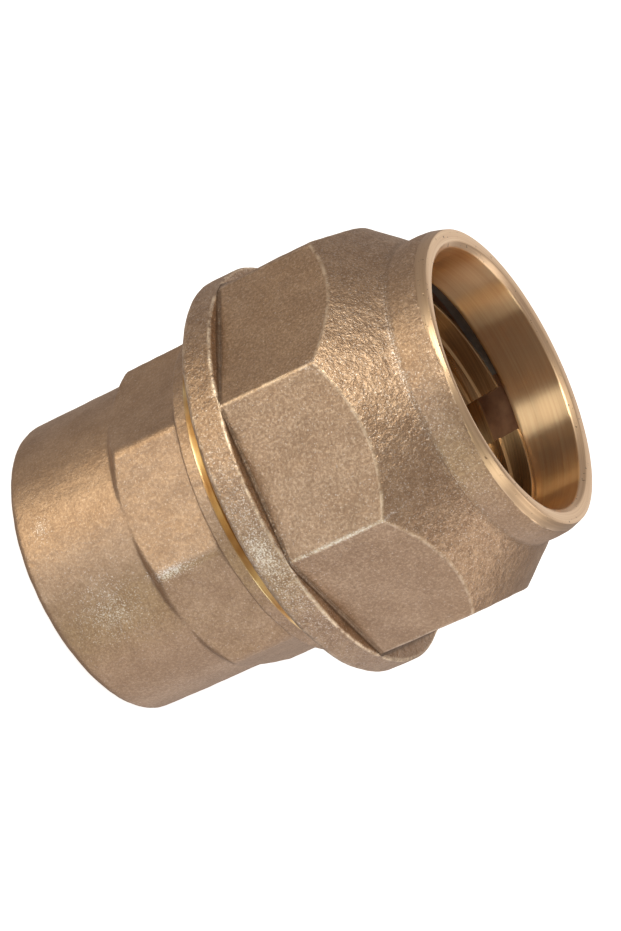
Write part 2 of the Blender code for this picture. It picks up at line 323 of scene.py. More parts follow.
def arc_radius(height, low, high, bulge):
    """Radius of the dome's arc at a height; low and high are its ends as (radius, height)."""
    chord = math.dist(low, high)
    curve = (chord * chord / 4 + bulge * bulge) / (2 * bulge)
    along = ((high[0] - low[0]) / chord, (high[1] - low[1]) / chord)
    outward = (along[1], -along[0])
    centre = ((low[0] + high[0]) / 2 + outward[0] * (bulge - curve),
              (low[1] + high[1]) / 2 + outward[1] * (bulge - curve))
    return centre[0] + np.sqrt(np.maximum(curve ** 2 - (height - centre[1]) ** 2, 0.0))


def thread_radius(angles, height, origin, pitch, major, minor, flat_share):
    """Radius of a right-handed thread at a height, with its flats' share of the pitch."""
    phase = ((height - origin) / pitch - angles / (2 * math.pi)) % 1.0
    ramp = 0.5 - flat_share
    rise = np.clip((phase - flat_share) / ramp, 0, 1)
    fall = np.clip((phase - flat_share - ramp - flat_share) / ramp, 0, 1)
    share = rise - fall
    return minor + (major - minor) * (share * share * (3 - 2 * share))


def clamp_thread_radius(angles, height, slack):
    """Radius of the thread between nut and body, with the slack that the nut has."""
    major = CLAMP_MAJOR_R + slack
    return thread_radius(angles, height, THREAD_ORIGIN, CLAMP_PITCH, major, major - CLAMP_DEPTH,
                         CLAMP_FLAT_SHARE)


class Turning:
    """Rows of a closed, nearly round surface, from which one mesh is made."""

    def __init__(self, angles):
        self.angles = angles
        self.rows = []
        self.finishes = []

    def row(self, radius, height, finish):
        """One ring of points; finish names the surface between it and the next ring."""
        radius = np.broadcast_to(np.asarray(radius, float), self.angles.shape)
        height = np.broadcast_to(np.asarray(height, float), self.angles.shape)
        self.rows.append(np.stack([radius, height]))
        self.finishes.append(np.broadcast_to(np.asarray(finish), self.angles.shape))

    def line(self, start, end, count, finish):
        """Rings along a straight stretch, without its last point."""
        for step in range(count):
            share = step / count
            self.row(start[0] + (end[0] - start[0]) * share,
                     start[1] + (end[1] - start[1]) * share, finish)

    def arc(self, centre, radius, start, end, count, finish):
        """Rings round a corner radius, without its last point; angles in degrees."""
        for step in range(count):
            angle = math.radians(start + (end - start) * step / count)
            self.row(centre[0] + radius * math.cos(angle),
                     centre[1] + radius * math.sin(angle), finish)

    def points(self):
        """All points in metres, as rows x columns x 3."""
        rows = np.array(self.rows)
        radius, height = rows[:, 0], rows[:, 1]
        return np.stack([radius * np.cos(self.angles), radius * np.sin(self.angles), height],
                        axis=-1) * MM


# ---------------------------------------------------------------- meshes

def row_normals(points):
    """Outward normals of a closed grid of points."""
    down = np.roll(points, -1, 0) - np.roll(points, 1, 0)
    around = np.roll(points, -1, 1) - np.roll(points, 1, 1)
    normal = np.cross(down, around)
    length = np.linalg.norm(normal, axis=-1, keepdims=True)
    return normal / np.maximum(length, 1e-15)


def edge_attribute(points, normals, reach):
    """How much each point stands out of its surroundings: positive on edges, negative in corners."""
    spacing_down = np.linalg.norm(np.roll(points, -1, 0) - points, axis=-1)
    spacing_round = np.linalg.norm(np.roll(points, -1, 1) - points, axis=-1)
    result = np.zeros(points.shape[:2])
    for axis, spacing in ((0, spacing_down), (1, spacing_round)):
        turn = ((np.roll(normals, -1, axis) - np.roll(normals, 1, axis))
                * (np.roll(points, -1, axis) - np.roll(points, 1, axis))).sum(-1)
        span = spacing + np.roll(spacing, 1, axis)
        result += turn / np.maximum(span, 1e-9) ** 2
    return np.tanh(result * reach)


def spread(values, passes):
    """Blur values on a closed grid of points."""
    for _ in range(passes):
        for axis in (0, 1):
            values = (np.roll(values, 1, axis) + 2 * values + np.roll(values, -1, axis)) / 4
    return values


def worn_and_highlight_attribute(name, points):
    """How much each point lies in one of the piece's rubbed places or bands of painted highlight."""
    radius = np.hypot(points[..., 0], points[..., 1])
    angle = np.arctan2(points[..., 1], points[..., 0])
    result = np.zeros(points.shape[:2])
    for piece, degrees, height, reach_round, reach_along, strength in WORN_AND_PAINTED_HIGHLIGHT:
        if piece == name:
            across = angle_from(angle, math.radians(degrees)) * radius / (reach_round * MM)
            along = (points[..., 2] - height * MM) / (reach_along * MM)
            result = np.maximum(result, strength * np.exp(-across ** 2 - along ** 2))
    return result


def cast_waviness(points, normals, mask):
    """Push the cast surface in and out by slow noise, as sand casting leaves it."""
    flat = points.reshape(-1, 3)
    push = np.zeros(len(flat))
    for index in np.flatnonzero(mask):
        wave = noise.noise(Vector(flat[index] / (WAVE_SIZE * MM)))
        ripple = noise.noise(Vector(flat[index] / (RIPPLE_SIZE * MM)))
        push[index] = wave + RIPPLE_SHARE * ripple
    return points + normals * (push * WAVE_DEPTH * MM).reshape(mask.shape)[..., None]


def grid_mesh(name, points, face_slots, materials, marks):
    """A closed mesh from a grid of points that wraps both ways."""
    count_rows, count_columns = points.shape[:2]
    index = np.arange(count_rows * count_columns).reshape(count_rows, count_columns)
    below = np.roll(index, -1, 0)
    corners = np.stack([index, below, np.roll(below, -1, 1), np.roll(index, -1, 1)], axis=-1)
    faces = corners.reshape(-1, 4)
    mesh = bpy.data.meshes.new(name)
    mesh.vertices.add(index.size)
    mesh.vertices.foreach_set("co", points.reshape(-1).astype(np.float32))
    mesh.loops.add(faces.size)
    mesh.loops.foreach_set("vertex_index", faces.reshape(-1).astype(np.int32))
    mesh.polygons.add(len(faces))
    mesh.polygons.foreach_set("loop_start", np.arange(0, faces.size, 4, dtype=np.int32))
    mesh.update(calc_edges=True)
    for material in materials:
        mesh.materials.append(material)
    mesh.polygons.foreach_set("material_index", face_slots.reshape(-1).astype(np.int32))
    for mark, values in marks.items():
        layer = mesh.attributes.new(mark, "FLOAT", "POINT")
        layer.data.foreach_set("value", values.reshape(-1).astype(np.float32))
    mesh.shade_smooth()
    mesh.validate()
    made = bpy.data.objects.new(name, mesh)
    bpy.context.scene.collection.objects.link(made)
    return made


def turned_piece(name, turning, finishes, coarse=None, grit=0.0, rub_and_painted_light=1.0):
    """One mesh from a Turning; finishes maps finish names to materials, and "cast" is uneven.

    coarse gives the lumpiness of the casting skin, 0 to 1, from angles and a height. grit is the
    strength of its fine grain at each angle; rub scales the pale edges (rubbed wear and painted
    highlight) and the painted corner shade.
    """
    points = turning.points()
    normals = row_normals(points)
    kinds = np.array(turning.finishes)
    if "cast" in finishes:
        points = cast_waviness(points, normals, kinds == "cast")
        normals = row_normals(points)
    edge = edge_attribute(points, normals, EDGE_REACH * MM)
    # Convex edges get a pale mark, part rubbed wear and part painted highlight; concave corners get
    # a blurred mark for painted shade
    marks = {"edge": np.clip(edge, 0, 1) * rub_and_painted_light,
             "corner_shade": spread(np.clip(-edge, 0, 1), CORNER_SHADE_SPREAD) * (1 + rub_and_painted_light) / 2,
             "worn_and_highlight": worn_and_highlight_attribute(name, points)}
    if coarse:
        heights = points[..., 2].mean(axis=1) / MM
        marks["coarse"] = np.array([coarse(turning.angles, height) for height in heights])
        marks["grit"] = np.broadcast_to(grit, points.shape[:2])
    slots = sum(number * (kinds == finish) for number, finish in enumerate(finishes))
    return grid_mesh(name, points, slots, finishes.values(), marks)


# ---------------------------------------------------------------- node helpers

class Shader:
    """A material being built; each helper adds one node and returns its output."""

    def __init__(self, name):
        self.material = bpy.data.materials.new(name)
        self.material.use_nodes = True
        self.tree = self.material.node_tree
        self.surface = self.tree.nodes["Principled BSDF"]
        self.place = self.tree.nodes.new("ShaderNodeTexCoord").outputs["Object"]

    def link(self, value, socket):
        if isinstance(value, (int, float, tuple)):
            socket.default_value = value
        else:
            self.tree.links.new(value, socket)

    def noise(self, scale, detail, roughness, vector=None):
        node = self.tree.nodes.new("ShaderNodeTexNoise")
        node.inputs["Scale"].default_value = scale
        node.inputs["Detail"].default_value = detail
        node.inputs["Roughness"].default_value = roughness
        self.link(vector or self.place, node.inputs["Vector"])
        return node.outputs["Fac"]

    def ramp(self, value, low, high, start=0.0, end=1.0):
        """Map value from low..high to start..end, clamped."""
        node = self.tree.nodes.new("ShaderNodeMapRange")
        node.inputs["From Min"].default_value = low
        node.inputs["From Max"].default_value = high
        node.inputs["To Min"].default_value = start
        node.inputs["To Max"].default_value = end
        self.link(value, node.inputs["Value"])
        return node.outputs["Result"]

    def math(self, operation, first, second=0.0):
        node = self.tree.nodes.new("ShaderNodeMath")
        node.operation = operation
        self.link(first, node.inputs[0])
        self.link(second, node.inputs[1])
        return node.outputs["Value"]

    def times(self, *values):
        """The product of several values."""
        product = values[0]
        for value in values[1:]:
            product = self.math("MULTIPLY", product, value)
        return product

    def mix(self, share, first, second):
        node = self.tree.nodes.new("ShaderNodeMix")
        node.data_type = "RGBA"
        self.link(share, node.inputs["Factor"])
        for value, socket in ((first, node.inputs["A"]), (second, node.inputs["B"])):
            self.link((*value, 1.0) if isinstance(value, tuple) else value, socket)
        return node.outputs["Result"]

    def attribute(self, name):
        node = self.tree.nodes.new("ShaderNodeAttribute")
        node.attribute_name = name
        return node.outputs["Fac"]

    def bump(self, height, distance, strength, normal=None):
        node = self.tree.nodes.new("ShaderNodeBump")
        node.inputs["Distance"].default_value = distance
        node.inputs["Strength"].default_value = strength
        self.link(height, node.inputs["Height"])
        if normal:
            self.link(normal, node.inputs["Normal"])
        return node.outputs["Normal"]

    def turned_vector(self, around, along):
        """Coordinates for turning marks: slow round the axis, fast across the marks."""
        split = self.tree.nodes.new("ShaderNodeSeparateXYZ")
        self.link(self.place, split.inputs["Vector"])
        square = self.math("ADD", self.math("POWER", split.outputs["X"], 2.0),
                           self.math("POWER", split.outputs["Y"], 2.0))
        radius = self.math("SQRT", square)
        across = self.math("ADD", radius, split.outputs["Z"])
        join = self.tree.nodes.new("ShaderNodeCombineXYZ")
        self.link(self.times(split.outputs["X"], around), join.inputs["X"])
        self.link(self.times(split.outputs["Y"], around), join.inputs["Y"])
        self.link(self.times(across, along), join.inputs["Z"])
        return join.outputs["Vector"]

    def round_tangent(self):
        """Turn the shader's stretched highlights across the turning marks."""
        tangent = self.tree.nodes.new("ShaderNodeTangent")
        tangent.direction_type = "RADIAL"
        tangent.axis = "Z"
        self.link(tangent.outputs["Tangent"], self.surface.inputs["Tangent"])

    def done(self, colour, roughness, metallic, normal=None):
        self.link((*colour, 1.0) if isinstance(colour, tuple) else colour,
                  self.surface.inputs["Base Color"])
        self.link(roughness, self.surface.inputs["Roughness"])
        self.link(metallic, self.surface.inputs["Metallic"])
        if normal:
            self.link(normal, self.surface.inputs["Normal"])
        return self.material


# ---------------------------------------------------------------- materials

def cast_tone(s, grain, lumps):
    """Brown skin with soft blotches and drifts, dark and pale grains, and dirt between lumps."""
    coarse = s.attribute("coarse")
    grit = s.attribute("grit")
    blotches = s.noise(260.0, 3.0, 0.6)
    drift = s.noise(45.0, 2.0, 0.5)
    clumps = s.noise(640.0, 2.0, 0.55)
    tone = s.mix(s.ramp(blotches, 0.35, 0.68), (0.42, 0.282, 0.182), (0.53, 0.372, 0.25))
    for share, colour in (
            (s.ramp(drift, 0.35, 0.65, 0.0, 0.5), (0.50, 0.33, 0.20)),
            (s.times(s.ramp(grain, 0.58, 0.30, 0.0, 0.68), grit), (0.24, 0.155, 0.10)),
            (s.times(s.ramp(grain, 0.52, 0.72, 0.0, 0.50), grit), (0.76, 0.58, 0.41)),
            (s.times(s.ramp(lumps, 0.52, 0.36, 0.0, 0.36), coarse), (0.27, 0.172, 0.105)),
            (s.times(s.ramp(clumps, 0.54, 0.38, 0.0, 0.18), coarse), (0.30, 0.19, 0.115)),
            (s.times(s.ramp(clumps, 0.50, 0.66, 0.0, 0.15), coarse), (0.72, 0.53, 0.36))):
        tone = s.mix(share, tone, colour)
    return tone


def rubbed_tone_and_painted_light(s, tone):
    """Pale rubbed edges that are partly painted highlight, smears and bright specks that are partly
    painted highlight along the nut's neck, and painted shade in the corners.
    """
    coarse = s.attribute("coarse")
    worn_and_highlight = s.attribute("worn_and_highlight")
    scuff = s.ramp(s.noise(900.0, 3.0, 0.75), 0.36, 0.62, 0.0, 0.9)
    # Pale edges: part rubbed wear, part painted highlight
    edge = s.times(s.ramp(s.attribute("edge"), 0.16, 0.75), scuff)
    # In the bands along the nut's neck the smears and bright specks are painted highlight; elsewhere
    # they are wear
    smear = s.times(s.ramp(s.noise(750.0, 3.0, 0.7), 0.42, 0.66, 0.0, 0.34), worn_and_highlight)
    crowd = s.math("ADD", s.times(worn_and_highlight, 0.2), s.times(coarse, 0.05))
    speck = s.math("ADD", s.noise(5200.0, 2.0, 0.7), crowd)
    shown = s.ramp(s.math("ADD", s.attribute("grit"), s.times(worn_and_highlight, 4.0)), 0.0, 1.0)
    # Painted shade: a dark colour laid into concave corners and creases, where shadow falls
    painted_corner_shade = s.ramp(s.attribute("corner_shade"), 0.08, 0.40, 0.0, 0.65)
    for share, colour in (
            # Colour of the pale edges, rubbed wear and painted highlight
            (edge, (0.98, 0.81, 0.60)),
            (smear, (0.86, 0.73, 0.62)),
            (s.times(s.ramp(speck, 0.62, 0.82, 0.0, 0.95), shown), (1.0, 0.93, 0.85)),
            # Colour of the painted shade in corners
            (painted_corner_shade, (0.13, 0.085, 0.055))):
        tone = s.mix(share, tone, colour)
    return tone


def cast_material(name):
    """Sand-cast gunmetal, rubbed bright in places, with painted highlight on its edges and along the
    nut's neck, and painted shade in its corners.
    """
    s = Shader(name)
    grain = s.noise(3100.0, 3.0, 0.72)
    lumps = s.noise(1150.0, 3.0, 0.65)
    tone = rubbed_tone_and_painted_light(s, cast_tone(s, grain, lumps))
    rough = s.ramp(grain, 0.3, 0.7, 0.50, 0.38)
    fine = s.bump(s.times(grain, s.attribute("grit")), 0.00012, 0.5)
    lumpiness = s.ramp(s.attribute("coarse"), 0.0, 1.0, 0.12, 1.0)
    uneven = s.bump(s.times(lumps, lumpiness), 0.00034, 0.5, fine)
    return s.done(tone, rough, 0.9, uneven)


def machined_material(name, colour, dark, roughness, streaks=5200.0, pits=0.0, stretch=0.75,
                      relief=0.5):
    """Turned gunmetal: fine rings round the axis, and pits where the casting was porous.

    streaks sets how close the rings lie, relief how deep they are, and stretch how far they
    draw out the highlights.
    """
    s = Shader(name)
    marks = s.noise(1.0, 1.5, 0.6, s.turned_vector(60.0, streaks))
    bands = s.noise(1.0, 2.0, 0.5, s.turned_vector(25.0, streaks / 7))
    tone = s.mix(s.ramp(marks, 0.3, 0.7), dark, colour)
    tone = s.mix(s.ramp(bands, 0.35, 0.7, 0.0, 0.35), tone, dark)
    height = marks
    if pits:
        holes = s.ramp(s.noise(1900.0, 2.0, 0.7), 0.335, 0.28)
        tone = s.mix(s.times(holes, pits), tone, (0.16, 0.085, 0.045))
        height = s.math("SUBTRACT", marks, holes)
    rough = s.ramp(bands, 0.3, 0.7, roughness - 0.10 * relief, roughness + 0.16 * relief)
    s.surface.inputs["Anisotropic"].default_value = stretch
    s.surface.inputs["Anisotropic Rotation"].default_value = 0.25
    s.round_tangent()
    return s.done(tone, rough, 1.0, s.bump(height, 0.00003, relief))


def painted_shade_material(name, dark, pale, metal):
    """Dark, mottled inner surfaces whose colour is painted shade, standing in for the shadow deep
    inside the fitting.
    """
    s = Shader(name)
    shade_film = s.noise(600.0, 3.0, 0.6)
    tone = s.mix(s.ramp(shade_film, 0.35, 0.7), dark, pale)
    return s.done(tone, s.ramp(shade_film, 0.3, 0.7, 0.4, 0.6), metal, s.bump(shade_film, 0.00005, 0.3))


def fresh_material(name):
    """Clean gold-coloured metal, patchy where it has begun to tarnish."""
    s = Shader(name)
    patches = s.noise(170.0, 2.0, 0.5)
    marks = s.noise(1.0, 3.0, 0.6, s.turned_vector(40.0, 4200.0))
    tone = s.mix(s.ramp(patches, 0.40, 0.60), (0.62, 0.39, 0.18), (1.0, 0.84, 0.50))
    tone = s.mix(s.ramp(marks, 0.6, 0.35, 0.0, 0.3), tone, (0.5, 0.3, 0.13))
    return s.done(tone, s.ramp(marks, 0.3, 0.7, 0.28, 0.42), 1.0, s.bump(marks, 0.00003, 0.4))


def rubber_material(name):
    """Black moulded rubber with a dull, slightly dusty face."""
    s = Shader(name)
    dust = s.noise(900.0, 3.0, 0.6)
    tone = s.mix(s.ramp(dust, 0.4, 0.7, 0.0, 0.5), (0.012, 0.012, 0.013), (0.035, 0.034, 0.033))
    return s.done(tone, s.ramp(dust, 0.3, 0.7, 0.5, 0.75), 0.0, s.bump(dust, 0.00006, 0.4))


def floor_material(name):
    """Plain pale studio floor."""
    s = Shader(name)
    s.surface.inputs["Emission Color"].default_value = (1.0, 1.0, 1.0, 1.0)
    s.surface.inputs["Emission Strength"].default_value = FLOOR_GLOW
    speck = s.noise(3.0, 2.0, 0.5)
    tone = s.mix(speck, (0.86, 0.86, 0.86), (0.88, 0.88, 0.88))
    return s.done(tone, 0.9, 0.0)


# ---------------------------------------------------------------- pieces

def nut_flats(angles):
    """Radius of the nut's octagon."""
    return octagon_radius(angles, NUT_FLAT, NUT_TURN, NUT_CORNER_BLEND)


def dome_radius(height):
    """Radius of the nut's domed shoulder."""
    return arc_radius(height, (DOME_END_R, DOME_END), (DOME_TOP_R, NECK_LOW), DOME_BULGE)


def nut_outer_radius(angles, height):
    """Outside of the nut between neck and collar: dome cut by eight flats."""
    dome = soft_max(dome_radius(height), NECK_R, NECK_BLEND)
    if height < DOME_END:
        dome = DOME_END_R + (DOME_END - height)
    return soft_min(nut_flats(angles), dome, NUT_ARC_BLEND)


def nut_coarseness(angles, height):
    """The shoulder and collar came rougher out of the sand than the flats and the neck."""
    if height < COLLAR_HIGH + COLLAR_FILLET:
        return np.ones_like(angles)
    if height > NECK_LOW:
        return np.full_like(angles, NECK_COARSENESS)
    dome = dome_radius(height) if height > DOME_END else DOME_END_R
    return np.clip((nut_flats(angles) - dome) / COARSE_BLEND + 0.5, 0.0, 1.0)


def add_nut_lip(t, chamfer):
    """The lip's slightly crowned face, and its bevel running out into the neck."""
    inner = BORE_R + chamfer
    outer = LIP_FACE_R - LIP_FACE_EDGE
    for share in np.arange(10) / 10:
        crown = LIP_CROWN * (2 * share - 1) ** 2
        t.row(inner + (outer - inner) * share, MOUTH - crown, "bright")
    t.line((outer, MOUTH - LIP_CROWN), (LIP_FACE_R, MOUTH - LIP_DROP), 2, "bright")
    skin = LIP_SKIN - LIP_LOW_SPOT * bump_round(t.angles, LIP_LOW_SIDE, LIP_LOW_SPAN)
    for depth in np.arange(LIP_DROP, LIP_BEVEL + LIP_RUN_OUT, LIP_STEP):
        share = (depth - LIP_DROP) / (LIP_BEVEL - LIP_DROP)
        slope = LIP_FACE_R + (LIP_R - LIP_FACE_R) * share
        t.row(soft_min(slope, NECK_R, LIP_BLEND), MOUTH - depth,
              np.where(depth < skin, "bevel", "cast"))


def add_nut_skin(t, collar):
    """The cast outside of neck, dome and flats, with a fillet where it meets the collar."""
    for height in np.arange(MOUTH - LIP_BEVEL - LIP_RUN_OUT, COLLAR_HIGH, -NUT_STEP):
        over = max(0.0, min(1.0, (COLLAR_HIGH + COLLAR_FILLET - height) / COLLAR_FILLET))
        fillet = COLLAR_FILLET * (1 - math.sqrt(1 - over * over))
        radius = nut_outer_radius(t.angles, height) + fillet
        t.row(np.minimum(radius, collar - COLLAR_LEDGE), height, "cast")


def add_nut_collar(t, collar):
    """The thin round collar at the nut's back, from its front face to its turned end."""
    root = nut_outer_radius(t.angles, COLLAR_HIGH) + COLLAR_FILLET
    root = np.minimum(root, collar - COLLAR_LEDGE)
    edge = np.maximum(collar - COLLAR_FRONT_EDGE, root + LEAST_STEP)
    t.line((root, COLLAR_HIGH), (edge, COLLAR_HIGH), 8, "cast")
    side_high = COLLAR_HIGH - COLLAR_FRONT_EDGE
    for turn in np.arange(6) / 6 * (math.pi / 2):
        t.row(edge + (collar - edge) * math.sin(turn),
              side_high + COLLAR_FRONT_EDGE * math.cos(turn), "cast")
    t.line((collar, side_high), (collar, COLLAR_LOW + COLLAR_EDGE), 18, "cast")
    t.arc((collar - COLLAR_EDGE, COLLAR_LOW + COLLAR_EDGE), COLLAR_EDGE, 0, -90, 6, "cast")


def add_nut_thread(t, collar):
    """The nut's turned end, its thread and the relief behind the thread."""
    entry = CLAMP_MAJOR_R + 2 * CLAMP_SLACK
    t.line((collar - COLLAR_EDGE, COLLAR_LOW), (entry, COLLAR_LOW), 6, "gold")
    for height in np.arange(COLLAR_LOW, NUT_RELIEF_LOW, THREAD_STEP):
        bite = clamp_thread_radius(t.angles, height, CLAMP_SLACK)
        lead = max(entry - (height - COLLAR_LOW), NUT_RELIEF_R - (NUT_RELIEF_LOW - height))
        t.row(np.maximum(bite, lead), height, "machined")
    t.line((NUT_RELIEF_R, NUT_RELIEF_LOW), (NUT_RELIEF_R, CONE_LOW), 6, "machined")


def add_nut_bore(t, chamfer):
    """The cone in brown painted shade, bluish grey on one side near the bore, then the bore and its
    chamfered mouth.
    """
    shade = (CONE_SHADE_R, CONE_SHADE_LOW)
    # Painted shade: the cone is coloured brown for the shadow inside the nut
    t.line((NUT_RELIEF_R, CONE_LOW), shade, 9, "painted_shade_brown")
    shade_film = bump_round(t.angles, PAINTED_SHADE_SIDE, PAINTED_SHADE_SPAN)
    painted_shade_finish = np.where(shade_film > PAINTED_SHADE_LEAST, "dull", "painted_shade_brown")
    bevel_start = (BORE_R + BORE_END_BEVEL, BORE_END)
    bevel_end = (BORE_R, BORE_END + BORE_END_BEVEL)
    t.line(shade, (CONE_TOP_R, BORE_END), 5, painted_shade_finish)
    t.line((CONE_TOP_R, BORE_END), bevel_start, 3, painted_shade_finish)
    t.line(bevel_start, bevel_end, 3, "bore")
    chamfer_low = MOUTH - LIP_CROWN - chamfer
    t.line(bevel_end, (BORE_R, MOUTH - BORE_CHAMFER_ROOM), 20, "bore")
    t.line((BORE_R, MOUTH - BORE_CHAMFER_ROOM), (BORE_R, chamfer_low), 5, "bore")
    t.line((BORE_R, chamfer_low), (BORE_R + chamfer, MOUTH - LIP_CROWN), 5, "bright")


def build_nut(finishes):
    """The clamp nut as one closed surface, outside, thread and bore."""
    t = Turning(columns(NUT_COLUMNS, NUT_TURN, NUT_CROWDING))
    wider = bump_round(t.angles, BORE_CHAMFER_SIDE, BORE_CHAMFER_SPAN)
    chamfer = BORE_CHAMFER + BORE_CHAMFER_EXTRA * wider
    collar = skin_radius(t.angles, COLLAR_R)
    add_nut_lip(t, chamfer)
    add_nut_skin(t, collar)
    add_nut_collar(t, collar)
    add_nut_thread(t, collar)
    add_nut_bore(t, chamfer)
    grit = NUT_GRIT + NUT_GRIT_SWING * np.cos(t.angles - GRIT_SIDE)
    nut = turned_piece("nut_casting", t, finishes, coarse=nut_coarseness, grit=grit)
    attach(nut, "nut")
    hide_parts("clamp_nut")


def body_outer_radius(angles, height):
    """Outside of the body below the flange: round, with an octagon rising out of it."""
    if height <= BODY_ROUND_HIGH:
        return np.full_like(angles, BODY_R)
    flats = octagon_radius(angles, BODY_FLAT, 0.0, BODY_CORNER_BLEND)
    cone = BODY_R + (height - BODY_FLATS_START) * BODY_FLATS_SLOPE
    return np.maximum(soft_min(flats, cone, BODY_FLATS_BLEND), BODY_R)


def body_coarseness(angles, height):
    """The flange is a little rougher than the rest."""
    flange = FLANGE_LOW - COARSE_BELOW_FLANGE < height < FLANGE_HIGH
    return np.full_like(angles, FLANGE_COARSENESS if flange else BODY_COARSENESS)


def add_body_spigot(t, rim):
    """The threaded spigot, from its end down to the chamfer of the flange's turned face."""
    # Painted shade: the spigot's end face is coloured brown for the shadow deep inside
    t.line((SEAT_R, SPIGOT_TOP), (RELIEF_R, SPIGOT_TOP), 3, "painted_shade_brown")
    for height in np.arange(SPIGOT_TOP, THREAD_START, -THREAD_STEP):
        limit = RELIEF_R + min(SPIGOT_TOP - height, height - THREAD_START)
        t.row(np.minimum(clamp_thread_radius(t.angles, height, 0.0), limit), height, "machined")
    t.line((RELIEF_R, THREAD_START), (RELIEF_R, FLANGE_HIGH), 5, "gold")
    t.line((RELIEF_R, FLANGE_HIGH), (rim - FLANGE_CHAMFER, FLANGE_HIGH), 6, "gold")
    t.line((rim - FLANGE_CHAMFER, FLANGE_HIGH), (rim, FLANGE_SIDE_HIGH), 6, "gold")


def add_body_skin(t, rim):
    """The cast outside, from the flange's side down to the rounded end."""
    edge = rim - FLANGE_EDGE
    base = body_outer_radius(t.angles, FLANGE_LOW)
    outer = np.maximum(edge, base + LEAST_STEP)
    t.line((rim, FLANGE_SIDE_HIGH), (rim, FLANGE_LOW + FLANGE_EDGE), 8, "cast")
    t.arc((edge, FLANGE_LOW + FLANGE_EDGE), FLANGE_EDGE, 0, -90, 4, "cast")
    t.line((outer, FLANGE_LOW), (base, FLANGE_LOW), 4, "cast")
    for height in np.arange(FLANGE_LOW - BODY_STEP, BODY_ROUND_HIGH + BODY_STEP / 2, -BODY_STEP):
        t.row(body_outer_radius(t.angles, height), height, "cast")
    t.line((BODY_R, BODY_ROUND_HIGH), (BODY_R, BODY_END_RADIUS), 28, "cast")
    t.arc((BODY_R - BODY_END_RADIUS, BODY_END_RADIUS), BODY_END_RADIUS, 0, -90, 6, "cast")


def add_body_inside(t):
    """The end face and pipe thread, the throat, the pipe's socket and the seal's seat."""
    t.line((BODY_R - BODY_END_RADIUS, 0), (PIPE_ENTRY_R, 0), 3, "bright")
    for height in np.arange(0, PIPE_THREAD_DEPTH, PIPE_THREAD_STEP):
        bite = thread_radius(t.angles, height, PIPE_THREAD_ORIGIN, PIPE_PITCH, PIPE_MAJOR_R,
                             PIPE_MINOR_R, PIPE_FLAT_SHARE)
        t.row(np.maximum(bite, PIPE_ENTRY_R - height), height, "machined")
    t.line((PIPE_MINOR_R, PIPE_THREAD_DEPTH), (THROAT_R, THROAT_LOW), 6, "machined")
    t.line((THROAT_R, THROAT_LOW), (THROAT_R, SOCKET_FLOOR), 5, "machined")
    t.line((THROAT_R, SOCKET_FLOOR), (BORE_R, SOCKET_FLOOR), 6, "machined")
    t.line((BORE_R, SOCKET_FLOOR), (BORE_R, SEAT_FLOOR), 12, "machined")
    # Painted shade: the seal's seat is coloured brown for the shadow deep inside
    t.line((BORE_R, SEAT_FLOOR), (SEAT_R, SEAT_FLOOR), 3, "painted_shade_brown")
    t.line((SEAT_R, SEAT_FLOOR), (SEAT_R, SPIGOT_TOP), 8, "painted_shade_brown")


def build_body(finishes):
    """The cast body as one closed surface, with both threads."""
    t = Turning(columns(BODY_COLUMNS, 0.0, BODY_CROWDING))
    rim = skin_radius(t.angles, FLANGE_R)
    add_body_spigot(t, rim)
    add_body_skin(t, rim)
    add_body_inside(t)
    body = turned_piece("body_casting", t, finishes, coarse=body_coarseness, grit=BODY_GRIT,
                        rub_and_painted_light=BODY_RUB_AND_PAINTED_LIGHT)
    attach(body, "body")
    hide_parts("fitting_body")


def ring_section():
    """The grip ring's section as (radius, depth behind the front), front edge first."""
    pitch = (RING_LENGTH - RING_NOSE_LENGTH) / TEETH
    section = [(RING_NOSE_R - RING_NOSE_EDGE, 0), (RING_NOSE_R, RING_NOSE_EDGE)]
    section += [(RING_NOSE_R, RING_NOSE_LENGTH), (RING_CONE_R, RING_LENGTH - RING_BACK_TAPER)]
    section += [(RING_BACK_R, RING_LENGTH)]
    for tooth in reversed(range(TEETH)):
        start = RING_NOSE_LENGTH + tooth * pitch
        section += [(RING_GROOVE_R, start + pitch), (TOOTH_R + TOOTH_BACK_DROP, start + TOOTH_BACK)]
        section += [(TOOTH_R, start + TOOTH_FRONT)]
    section += [(RING_NOSE_INNER_R, RING_NOSE_LENGTH), (RING_NOSE_INNER_R, RING_NOSE_EDGE)]
    section += [(RING_NOSE_INNER_R + RING_NOSE_EDGE, 0)]
    return section


def split_ring_mesh(name, section):
    """A section swept round the axis from one side of the slit to the other, with closed ends."""
    count = len(section)
    first = SLIT_CENTRE + SLIT_WIDTH / 2
    span = 2 * math.pi - SLIT_WIDTH
    verts = []
    for step in range(RING_STEPS + 1):
        angle = first + span * step / RING_STEPS
        verts += [(r * math.cos(angle) * MM, r * math.sin(angle) * MM, -d * MM) for r, d in section]
    last = RING_STEPS * count
    faces = [tuple(range(count)), tuple(reversed(range(last, last + count)))]
    for start in range(0, last, count):
        for corner in range(count):
            a = start + corner
            b = start + (corner + 1) % count
            faces.append((a, a + count, b + count, b))
    mesh = bpy.data.meshes.new(name)
    mesh.from_pydata(verts, [], faces)
    return mesh


